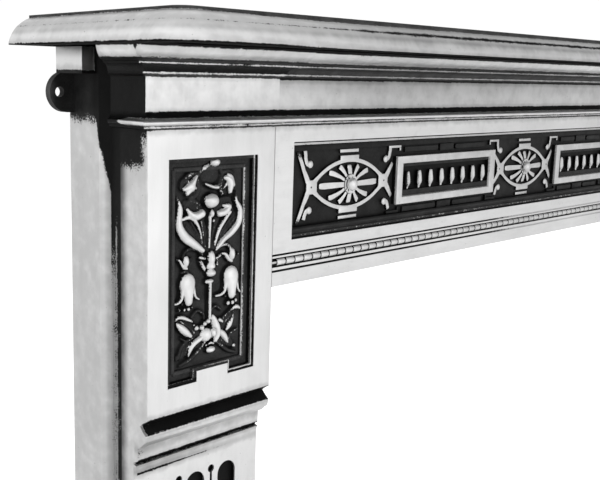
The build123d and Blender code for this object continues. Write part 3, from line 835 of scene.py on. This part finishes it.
LEAVES = (
    # left horn leaf: outer band, inner edge and veins
    ((-31.2, 26.5, 0.9, 2.4), (-29.3, 31, 1.8, 3.4), (-28.4, 36.3, 2.8, 4.2), (-29.4, 42.9, 3, 4.4),
     (-28.2, 49.1, 3.5, 4.6), (-23.4, 55.5, 3.8, 4.8), (-14.8, 61.6, 3.2, 5), (-7.6, 66.6, 2, 4.6)),
    ((-27, 43, 1.6, 3.4), (-19.8, 41.6, 1.9, 3.8), (-14.2, 45.2, 1.7, 3.8), (-10.3, 51.8, 1.4, 3.4),
     (-7.6, 61.8, 1.1, 3)),
    ((-22.5, 47.5, 1, 2.6), (-15.5, 55, 1, 2.6), (-9.6, 63, 0.8, 2.5)),
    ((-18, 45.5, 1, 2.6), (-12.5, 53, 1, 2.6), (-8.4, 62, 0.8, 2.5)),
    # right horn leaf
    ((24.6, 26.5, 0.9, 2.4), (24.3, 32.9, 1.7, 3.6), (27.6, 38.5, 2.6, 4.2), (28.4, 42.9, 2.9, 4.4),
     (26.8, 49.6, 3, 4.6), (20.2, 56, 2.8, 4.8), (12.4, 60.7, 2.3, 4.8), (6.7, 65.9, 1.6, 4.4)),
    ((18.8, 41, 1.6, 3.6), (12.6, 47.2, 1.8, 4), (8.2, 52.9, 1.7, 4), (5.4, 59.6, 1.5, 3.6),
     (4.1, 63.8, 1.2, 3.4)),
    ((24, 45.5, 1, 2.6), (17, 52.5, 1, 2.6), (9, 60.5, 0.9, 2.5)),
    ((20.5, 45, 1, 2.5), (13, 52, 1, 2.6), (7, 60, 0.8, 2.4)),
    # ribs between the horns
    ((-8.7, 46, 1.1, 2.9), (-6.6, 56, 1.1, 2.9), (-4.8, 64, 1, 2.8)),
    ((-0.9, 42.8, 1.4, 4.2), (-1.2, 54, 1.1, 4), (-1.4, 65, 1, 3.6)),
    ((4.6, 47, 1, 2.4), (2.2, 56, 1, 2.5), (1, 63, 0.9, 2.4)),
    # curled lobes under the flowers
    ((-22, 36, 1.4, 4), (-18.4, 39.7, 2.4, 5), (-13.5, 41.4, 3.1, 5.4), (-8.8, 40, 3.3, 5.4)),
    ((-23.4, 35, 1.7, 2.2), (-21, 31.4, 2, 2.3), (-15.6, 30.6, 2.2, 2.3), (-10.4, 33.5, 2, 2.2)),
    ((11.8, 35.8, 1.3, 3.6), (17.2, 36.8, 2.3, 4.8), (13.4, 40.2, 2.9, 5.4), (8.2, 41.2, 2.8, 5.4)),
    ((20.4, 36, 1.7, 2.2), (16.6, 31.2, 2, 2.3), (9.6, 31.6, 2, 2.2)),
    # lip between the flowers, and the crown's ruffles
    ((-5.6, 19, 0.9, 4), (1, 21.4, 1.4, 5), (5.6, 22, 1.6, 4.8)),
    ((-13, 15, 1.8, 2.5), (-9.6, 9.6, 2.2, 2.7), (-6.4, 7.4, 1.9, 3.4), (-1.5, 5.6, 1.6, 2.7)),
    ((11.4, 14, 1.6, 2.4), (8.6, 8.6, 1.8, 2.6), (4.6, 5.4, 1.6, 2.6)),
    # left flower: bright folds to the left, low ones round it
    ((-18.6, 20.2, 4.2, 5.2), (-21.6, 20.9, 3, 4.8), (-25.2, 21.5, 1.4, 4.2)),
    ((-18.4, 20.6, 3.4, 5), (-22, 24.6, 1.9, 4.4)),
    ((-18.2, 19.4, 3.4, 5), (-15.8, 16, 2, 4.4), (-13.6, 13, 1.2, 3.8)),
    ((-17.4, 20.4, 1.8, 4.6), (-13.6, 21.8, 1.2, 3.2)),
    ((-21, 17, 2.2, 2.8), (-25, 16.4, 2.6, 2.5), (-26.6, 20.4, 2, 2.4)),
    ((-22, 14, 2.4, 2.6), (-18.4, 11.8, 2.4, 2.6), (-13.4, 11.6, 2, 2.4)),
    ((-12.4, 16.4, 2, 2.6), (-11.2, 21.4, 2.2, 2.5), (-13, 26.4, 2, 2.5), (-18.4, 28.4, 2, 2.4)),
    # right flower: bright folds to the right
    ((12.4, 15.6, 1.5, 4), (15.4, 16, 2.6, 4.8), (18.4, 19.4, 3.2, 5.2), (18, 25.8, 2, 4.4)),
    ((15.6, 13.8, 1.6, 4.2), (18.8, 15.8, 2.2, 4.4), (21.2, 21.4, 1.8, 4.2)),
    ((14.6, 20.4, 1.3, 3.6), (11.4, 24, 0.9, 2.6)),
    ((10.2, 16.4, 2.4, 2.6), (9, 21.6, 2.4, 2.5), (11.2, 26.6, 2.2, 2.5)),
    ((12.4, 11.8, 2.2, 2.4), (17.4, 11.4, 2.2, 2.4), (21.6, 13.6, 1.8, 2.3)),
    # arching stems
    ((-7.6, 69.6, 1.1, 3), (-12, 65.9, 1.3, 3), (-18.1, 64.5, 1.3, 2.7), (-23.1, 66.2, 1.3, 2.7),
     (-25, 70, 1.1, 2.5)),
    ((5.8, 67.4, 1.2, 3.4), (11.3, 64.6, 1.5, 3.7), (16.9, 65.2, 1.5, 3.2), (20.4, 68.6, 1.2, 2.8)),
    # small leaves beside the vase
    ((-9.8, 71.6, 1.3, 3.8), (-5.4, 72.8, 1.3, 3.8)),
    ((-8.9, 75, 1.6, 3.6), (-7, 78.4, 1.8, 4), (-5, 81, 1.4, 3.8)),
    ((6, 74, 1.1, 3.2), (9.8, 72.4, 1, 3.2)),
    ((7, 75.8, 1.2, 3.2), (6.8, 79, 1.4, 3.2)),
    # buds with a curling tail
    ((-31, 70.6, 0.9, 3), (-28.3, 71.8, 1.2, 3.4), (-25, 76.6, 1.5, 3.8), (-22, 78, 1.3, 3.8)),
    ((10.8, 71, 0.9, 3), (14.7, 71.9, 1.4, 3.8), (17.8, 75.8, 1.7, 4.2), (20.6, 77.6, 1.3, 4.2)),
    ((-26, 80.8, 1.2, 2.5), (-22.4, 80.2, 1.2, 2.9), (-19.4, 81.4, 1, 2.5)),
    # bells: full cup, hanging lobe and two tails each
    ((-21, 85.6, 4, 5), (-21.2, 88.6, 7.2, 5.6), (-20.8, 91.6, 6.6, 5.6), (-20, 97, 4.6, 5.2),
     (-19.8, 102.2, 3.7, 4.8)),
    ((20.4, 85.4, 4.2, 5.2), (20.2, 88.4, 7.4, 5.8), (20.6, 91.6, 6.8, 5.8), (21.4, 97.4, 4.7, 5.4),
     (21.4, 102.8, 3.8, 5)),
    ((-25.6, 92, 1.8, 4.4), (-26.4, 99, 1.5, 4.2), (-29, 101.9, 1.3, 4), (-32.4, 102.4, 1, 3.8)),
    ((-15.2, 93, 1.3, 3.8), (-13.7, 99.4, 1.1, 3.7), (-10.4, 102, 0.9, 3.5)),
    ((15.4, 93, 1.8, 4.4), (14.1, 99.2, 1.5, 4.2), (10.8, 101.6, 1.3, 4), (5.8, 102, 1, 3.8)),
    ((26.4, 93, 1.3, 3.8), (27.6, 99.4, 1.1, 3.7), (29.8, 102.2, 0.9, 3.5)),
    # stem
    ((0, 92, 1.5, 4.2), (0, 104, 1.5, 4.1), (0.2, 118, 1.4, 3.9)),
    # arches over the foot group
    ((-16.5, 114.5, 1.2, 2.4), (-11.4, 110.6, 1.3, 2.6), (-5.6, 113.6, 1.2, 2.5), (-4.6, 117.6, 1, 2.3)),
    ((1.6, 112.2, 1.1, 2.4), (6.6, 109.8, 1.3, 2.6), (11.6, 113.4, 1.2, 2.4)),
    # foot leaves, left
    ((-31.4, 114.4, 1, 3), (-29, 112.8, 1.4, 3.8), (-24, 113.8, 1.6, 4), (-16.6, 117.6, 1.1, 3.4)),
    ((-30.2, 117.6, 1.5, 3.6), (-26.2, 121.2, 3, 4.6), (-21.6, 125, 2.8, 4.6), (-17.6, 128.2, 1.7, 3.8)),
    ((-27.4, 115.9, 0.8, 2.6), (-20, 120.8, 0.9, 2.8), (-14, 126.6, 0.8, 2.8)),
    ((-19.8, 143, 1, 3.2), (-17.8, 137.6, 2, 4.4), (-14.4, 134, 2.3, 4.8), (-8.8, 131.4, 2.2, 5)),
    ((-26.5, 128.5, 0.9, 2.3), (-21, 131.5, 1, 2.5), (-14, 130, 0.9, 2.6)),
    ((-28.6, 143, 1.4, 2.3), (-25.5, 135.5, 1.6, 2.5), (-19, 131, 1.4, 2.5)),
    ((-22, 142, 0.9, 2.4), (-20.6, 137, 1, 2.6), (-16.6, 132.6, 0.9, 2.6)),
    ((-4, 135.5, 1.3, 2.8), (-10, 141, 1.6, 2.6), (-18, 146, 1.6, 2.5), (-27, 149, 1.3, 2.2)),
    # foot leaves, right
    ((29.8, 114.8, 1.2, 3.4), (26, 113.2, 1.8, 4), (20.4, 115.4, 1.2, 3.1), (12.6, 120.6, 1, 2.9)),
    ((24, 117.8, 1.2, 2.9), (22, 121.8, 2.2, 3.6), (19.6, 125.8, 2.7, 4.2), (17.2, 128.8, 1.6, 3.6)),
    ((25.4, 117.6, 0.9, 2.5), (18.6, 120.8, 1, 2.7), (13, 125.8, 0.9, 2.6)),
    ((9, 128.6, 1.6, 4.2), (12.4, 131.4, 2.7, 4.8), (15.4, 134.6, 2.4, 4.6), (18, 139.2, 1.1, 3.6)),
    ((5.8, 135.6, 1.4, 2.8), (12.6, 141, 1.6, 2.6), (19.4, 146, 1.6, 2.5), (27, 148.8, 1.3, 2.2)),
    ((28, 131, 1.2, 2.3), (22, 133, 1.3, 2.4), (19, 138, 1, 2.3)),
    # open flower in the foot group
    ((2.8, 116.4, 1.2, 4.8), (4, 120.4, 3, 5.8), (6.2, 126, 3.6, 6.2), (7.4, 130.8, 2.6, 5.8),
     (5.8, 135.4, 1.9, 4.6)),
    ((9.8, 120.6, 1.6, 4), (12.6, 122.4, 1.5, 3.4)),
    ((-2.6, 138, 0.9, 2.9), (1.4, 136.8, 1, 3.4), (5, 138, 0.9, 2.9)),
)

# Domes: (across, down, half width, half height, height)
DOMES = (
    (3.2, 3.8, 4.8, 3.6, 6.2), (-0.3, 12.4, 9, 7.4, 2), (-6.4, 7.6, 2.3, 2.1, 4),
    (0.2, 31.5, 7.1, 5.5, 7.4), (0.8, 40.6, 2.2, 3.4, 5), (3, 46, 1.5, 1.5, 3.3),
    (0.8, 73.6, 3.9, 6.6, 5.4), (0.6, 79.4, 4.6, 5, 5.4), (0.8, 84.2, 5, 3, 5.6), (-0.6, 90.2, 5, 2, 4.4),
    (-22.6, 73, 3.2, 5, 4.6), (21.2, 72.6, 3.3, 5.4, 4.8), (27.2, 73, 1.4, 1.4, 3.2),
    (-17.8, 72, 2, 1.6, 2.4), (-25.4, 103.6, 1.5, 1.6, 2.9), (15.2, 103.5, 1.4, 1.5, 3.2),
    (25.2, 103.6, 1.7, 1.9, 3.3), (-28.1, 107.3, 1.8, 1.7, 3.2), (-23.8, 107.9, 1.8, 1.7, 3.5),
    (-19.8, 108, 1.9, 1.8, 3.6), (-16.4, 107.4, 1.3, 1.4, 2.9), (18, 109.2, 2.2, 2.1, 4),
    (22.4, 109.4, 2.1, 2.1, 4), (25.8, 108.2, 1.7, 1.8, 3.6), (-12.2, 123.2, 2.2, 2.1, 4.4),
    (-7.4, 123.6, 2.5, 2.2, 4.8), (-4.6, 121.2, 2, 2, 4.6), (-1.2, 119.8, 2.2, 2.1, 4.8),
    (-14.6, 120.6, 1.6, 1.6, 3.2), (-3.6, 129.8, 6, 5.6, 6.2), (2.8, 129, 3.4, 4.6, 6.2),
    (1.4, 141.8, 4.8, 2.7, 5.2), (-30, 142.8, 1.9, 2.4, 2.5), (24.8, 142.9, 2.2, 2.2, 3.3),
)

# Sunk ring in the open flower: (across, down, half width, half height)
FLOWER_MOUTH = (2.8, 129, 2.2, 3.4)
# Grooves round the vase, measured down
VASE_GROOVES = (81.2, 87.6)

# Low leaf bodies under the strokes: (across, down, half width, height) along a line
BODIES = (
    ((-27, 44, 3, 1.4), (-22, 50, 6, 1.9), (-13, 58, 5, 2.1), (-6, 66, 3.5, 2.2)),
    ((25, 44, 3, 1.4), (20, 50, 5.5, 1.9), (11.5, 57, 4.5, 2.1), (4, 65, 3.5, 2.2)),
    ((-9, 44, 3, 1.2), (-4.5, 54, 4.5, 1.6), (-1, 64, 5, 2)),
    ((8, 45, 2.5, 1.2), (3.5, 54, 4, 1.6), (1, 64, 4, 2)),
    ((-29, 115.5, 1.8, 1.8), (-22, 119.5, 4.6, 2.1), (-14, 126, 5, 2.2), (-6, 131, 4, 2.2)),
    ((27.5, 115, 1.8, 1.8), (20, 119.5, 4.6, 2.1), (13, 126, 5, 2.2), (6, 131, 4, 2.2)),
    ((-26, 143, 2.4, 1.6), (-20, 137, 5, 2), (-10, 134, 5, 2.1)),
    ((25, 143, 2.4, 1.6), (18, 138, 4.5, 2), (9, 134, 5, 2.1)),
    ((-22, 32, 3.4, 2), (-14, 35, 5, 2.1), (-8, 39, 3.4, 2.1)),
    ((18, 32, 3.4, 2), (12, 35, 5, 2.1), (7, 39, 3.4, 2.1)),
    ((-20, 19, 8, 1.8), (-17, 21, 8.5, 1.8)),
    ((14, 18, 8, 1.8), (16, 21, 8, 1.8)),
)


def stroke_height(across, down, line, fullness):
    """Height of a rounded ridge along a line, over the whole grid."""
    height = numpy.zeros_like(across)
    for (x0, y0, r0, h0), (x1, y1, r1, h1) in zip(line, line[1:]):
        run = (x1 - x0) ** 2 + (y1 - y0) ** 2
        share = numpy.clip(((across - x0) * (x1 - x0) + (down - y0) * (y1 - y0)) / run, 0, 1)
        away = numpy.hypot(across - x0 - share * (x1 - x0), down - y0 - share * (y1 - y0))
        inside = numpy.clip(1 - (away / (r0 + (r1 - r0) * share)) ** 2, 0, 1)
        height = numpy.maximum(height, (h0 + (h1 - h0) * share) * inside ** fullness)
    return height


def relief_heights(across, down):
    """Fruit, flowers and leaves over the panel's ground, in millimetres."""
    low = numpy.zeros_like(across)
    for line in BODIES:
        low = numpy.maximum(low, stroke_height(across, down, smooth_line(line, 4), 0.6))
    ribs = 0.25 * numpy.sin(across * 2.6 + down * 1.1) * (low > 0.5)
    height = low + ribs * (low > 0)
    for line in LEAVES:
        height = numpy.maximum(height, stroke_height(across, down, smooth_line(line, 4), 0.3))
    for x, y, wide, tall, rise in DOMES:
        inside = numpy.clip(1 - ((across - x) / wide) ** 2 - ((down - y) / tall) ** 2, 0, 1)
        height = numpy.maximum(height, rise * inside ** 0.42)
    x, y, wide, tall = FLOWER_MOUTH
    ring = numpy.abs(numpy.hypot((across - x) / wide, (down - y) / tall) - 1)
    height = height - 2.2 * numpy.clip(1 - ring * 3.2, 0, 1)
    for y in VASE_GROOVES:
        height = height - 1.8 * numpy.clip(1 - numpy.abs(down - y) / 0.8, 0, 1) * (numpy.abs(across) < 5)
    return numpy.clip(height, 0, None)


def painted_shade_halo(table):
    """How much painted shade lies on each point that its surroundings rise above."""
    reach = round(SHADE_REACH / RELIEF_STEP)
    steps = (-reach, 0, reach)
    near = [numpy.roll(table, (rise, run), (0, 1)) for rise in steps for run in steps]
    return numpy.clip((numpy.mean(near, axis=0) - table).ravel() * 0.75, 0, 0.9)


def panel_relief(name, side, material):
    """The cast relief inside one leg's panel, as a closed sheet that rises from the ground."""
    tall = (PANEL_FOOT - SHEET_TOP) / 2
    middle_down = (PANEL_FOOT + SHEET_TOP) / 2
    axis = side * LEG_AXIS
    columns = round(2 * SHEET_HALF / RELIEF_STEP)
    rows = round(2 * tall / RELIEF_STEP)
    form = bmesh.new()
    bmesh.ops.create_grid(form, x_segments=columns, y_segments=rows, size=1)
    flat = numpy.array([vert.co[:2] for vert in form.verts])
    across = flat[:, 0] * SHEET_HALF
    down = middle_down + flat[:, 1] * tall
    heights = relief_heights(across, down)
    rim = numpy.minimum(SHEET_HALF - numpy.abs(across), tall - numpy.abs(down - middle_down))
    heights = heights * numpy.clip(rim / 0.8, 0, 1)
    halo = painted_shade_halo(heights.reshape(rows + 1, -1))
    for vert, x, y, height in zip(form.verts, across, down, heights):
        deep = PANEL_GROUND - 0.12 - height
        vert.co = Vector((axis - side * x * MM, FACE + deep * MM, SEAT - (PANEL_TOP + y) * MM))
    border = [line for line in form.edges if line.is_boundary]
    made = bmesh.ops.extrude_edge_only(form, edges=border)["geom"]
    back = [line for line in made if isinstance(line, bmesh.types.BMEdge)]
    for vert in made:
        if isinstance(vert, bmesh.types.BMVert):
            vert.co.y = FACE + (PANEL_GROUND + 0.4) * MM
    bmesh.ops.holes_fill(form, edges=[line for line in back if line.is_boundary])
    bmesh.ops.recalc_face_normals(form, faces=form.faces)
    mesh = bpy.data.meshes.new(name)
    form.to_mesh(mesh)
    form.free()
    for face in mesh.polygons:
        face.use_smooth = True
    proud = mesh.attributes.new("proud", "FLOAT", "POINT").data
    painted_shade = mesh.attributes.new("painted_shade", "FLOAT", "POINT").data
    for vert, normal in zip(mesh.vertices, mesh.vertex_normals):
        rise = PANEL_GROUND - (vert.co.y - FACE) / MM
        proud[vert.index].value = min((rise - POLISHED_RISE) * 1.1, (-normal.vector.y - 0.12) * 3.0)
        # Painted shade: steep sides and points below their surroundings get darker black.
        slope = 2.2 * (0.93 + normal.vector.y)
        shade = halo[vert.index] if vert.index < len(halo) else 0.0
        painted_shade[vert.index].value = min(max(slope, shade, 0.0), 0.9)
    return add_piece(name, mesh, material)


ROLL_OFFSET = 1.9


def panel_rolls(material):
    """Half-round roll along the four sides of each panel, just outside its ground."""
    rolls = Casting("panel_rolls", PANEL_GROUND + 0.3)
    reach = PANEL_HALF + ROLL_OFFSET
    top = PANEL_LOW - ROLL_OFFSET
    foot = PANEL_FOOT + ROLL_OFFSET
    for side in (-1, 1):
        rolls.middle = (side * LEG_AXIS, SEAT - PANEL_TOP * MM)
        corners = ((-reach, -top), (reach, -top), (reach, -foot), (-reach, -foot), (-reach, -top))
        for start, end in zip(corners, corners[1:]):
            rolls.strap([(*start, 1.85, 4.2), (*end, 1.85, 4.2)], 1.7, 4)
    return rolls.finish(material, roll_highlight_marks)


def roll_highlight_marks(deep, facing, place):
    """A thin polished line, painted as the roll's highlight, on the inner side of the roll's right upright
    and foot.
    """
    across = (HALF_WIDTH - abs(place.x)) / MM - HALF_LEG
    down = (SEAT - place.z) / MM - PANEL_TOP
    inner = across - PANEL_HALF
    if 55 < down < 70 or 104 < down < 118:
        inner = max(inner, -PANEL_HALF - across)
    worn = 0.05 if 45 < down < 140 else -0.5
    return min(inner + 0.1, 0.85 - inner) * 0.8 + worn


# Surroundings -----------------------------------------------------------------------------------

def studio():
    """Pale floor, white surroundings and a soft lamp."""
    world = bpy.data.worlds.new("studio")
    bpy.context.scene.world = world
    world.use_nodes = True
    tree = world.node_tree
    back = tree.nodes["Background"]
    back.inputs["Color"].default_value = (1, 1, 1, 1)
    paths = tree.nodes.new("ShaderNodeLightPath")
    seen = Value(tree, paths.outputs["Is Camera Ray"])
    parts = tree.nodes.new("ShaderNodeSeparateXYZ")
    tree.links.new(tree.nodes.new("ShaderNodeTexCoord").outputs["Generated"], parts.inputs[0])
    right, back_way, up = (Value(tree, socket) for socket in parts.outputs)
    glow = right * -0.30 + back_way * -0.15 + up * 0.05 + 1.02
    tree.links.new(glow.most(seen * 1.02).socket, back.inputs["Strength"])

    bpy.ops.mesh.primitive_plane_add(size=14)
    floor = bpy.context.object
    floor.name = "floor"
    pale = bpy.data.materials.new("floor")
    pale.use_nodes = True
    tree = pale.node_tree
    shader = tree.nodes["Principled BSDF"]
    shader.inputs["Base Color"].default_value = (0.9, 0.9, 0.9, 1)
    shader.inputs["Roughness"].default_value = 0.9
    shader.inputs["Emission Strength"].default_value = 1.0
    seen = Value(tree, tree.nodes.new("ShaderNodeLightPath").outputs["Is Camera Ray"])
    tree.links.new(grey(tree, seen * 0.42), shader.inputs["Emission Color"])
    floor.data.materials.append(pale)
    lamp("front_lamp", (0.6, -3.2, 0.9), (-0.4, 0.0, 0.9), 2.2, 10)


def lamp(name, place, target, size, power):
    """A soft square lamp aimed at a point."""
    light = bpy.data.lights.new(name, "AREA")
    light.size = size
    light.energy = power
    item = bpy.data.objects.new(name, light)
    item.location = place
    item.rotation_euler = (Vector(target) - Vector(place)).to_track_quat("-Z", "Y").to_euler()
    bpy.context.scene.collection.objects.link(item)


CAMERA_PLACE = (-0.9601, -0.4775, SEAT - 0.019)
CAMERA_TURN = (42.535, -10.252, 1.069)


def camera():
    """Stands to the left in front, just below the shelf, and looks to the right and down."""
    yaw, pitch, roll = (math.radians(angle) for angle in CAMERA_TURN)
    ahead = Vector((math.sin(yaw) * math.cos(pitch), math.cos(yaw) * math.cos(pitch), math.sin(pitch)))
    right = Vector((math.cos(yaw), -math.sin(yaw), 0))
    up = right.cross(ahead)
    turned_right = right * math.cos(roll) + up * math.sin(roll)
    turned_up = up * math.cos(roll) - right * math.sin(roll)
    cam = bpy.data.objects.new("camera", bpy.data.cameras.new("camera"))
    bpy.context.scene.collection.objects.link(cam)
    turn = Matrix((turned_right, turned_up, -ahead)).transposed().to_4x4()
    cam.matrix_world = Matrix.Translation(CAMERA_PLACE) @ turn
    cam.data.lens = 53.99
    cam.data.shift_x = 0.11
    bpy.context.scene.camera = cam


def soften(node):
    """Shades a node smoothly over its curves and keeps its corners crisp."""
    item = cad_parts[node]
    for polygon in item.data.polygons:
        polygon.use_smooth = True
    weld = item.modifiers.new("weld", "WELD")
    weld.merge_threshold = 0.00001
    split = item.modifiers.new("edges", "EDGE_SPLIT")
    split.split_angle = math.radians(28)


bpy.context.scene.view_settings.view_transform = "Standard"
steel = iron_material("fixing_steel", lambda across, deep, drop: deep * 0 + 2)
finishes = {
    "left_leg": iron_material("leg_iron", leg_proud, 0.5, (2.0, 2.0, 0.35), tarnish_and_painted_light=leg_painted_shade_and_highlight,
                              rubbing_and_painted_light=leg_painted_sheen_and_fill),
    "header": iron_material("header_iron", header_proud, 0.4, (0.35, 2.0, 2.0), tarnish_and_painted_light=header_dulling_and_painted_light,
                            rubbing_and_painted_light=header_grey_and_painted_shade),
    "mantel_shelf": iron_material("shelf_iron", shelf_proud, 0.42, (0.35, 2.0, 2.0), tarnish_and_painted_light=shelf_painted_shade,
                                  rubbing_and_painted_light=shelf_rubbed, matt=0.38),
}
finishes["right_leg"] = finishes["left_leg"]
for name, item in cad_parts.items():
    item.data.materials.clear()
    item.data.materials.append(finishes.get(name, steel))
    soften(name)
ornament = iron_material("ornament_iron", None, ragged=0.25, black=0.024, metal=0.6,
                         tarnish_and_painted_light=lambda across, deep, drop: across.ramp(150, 420, -0.16, 0.0))
rosettes(ornament)
frames(ornament, ornament)
billets(ornament)
relief = iron_material("relief_iron", None, ragged=0.8, black=0.03, metal=0.55,
                       tarnish_and_painted_light=lambda across, deep, drop: across * 0 - 0.2)
panel_relief("left_panel_relief", -1, relief)
panel_relief("right_panel_relief", 1, relief)
panel_rolls(iron_material("roll_iron", None, ragged=0.6, black=0.045))
studio()
camera()
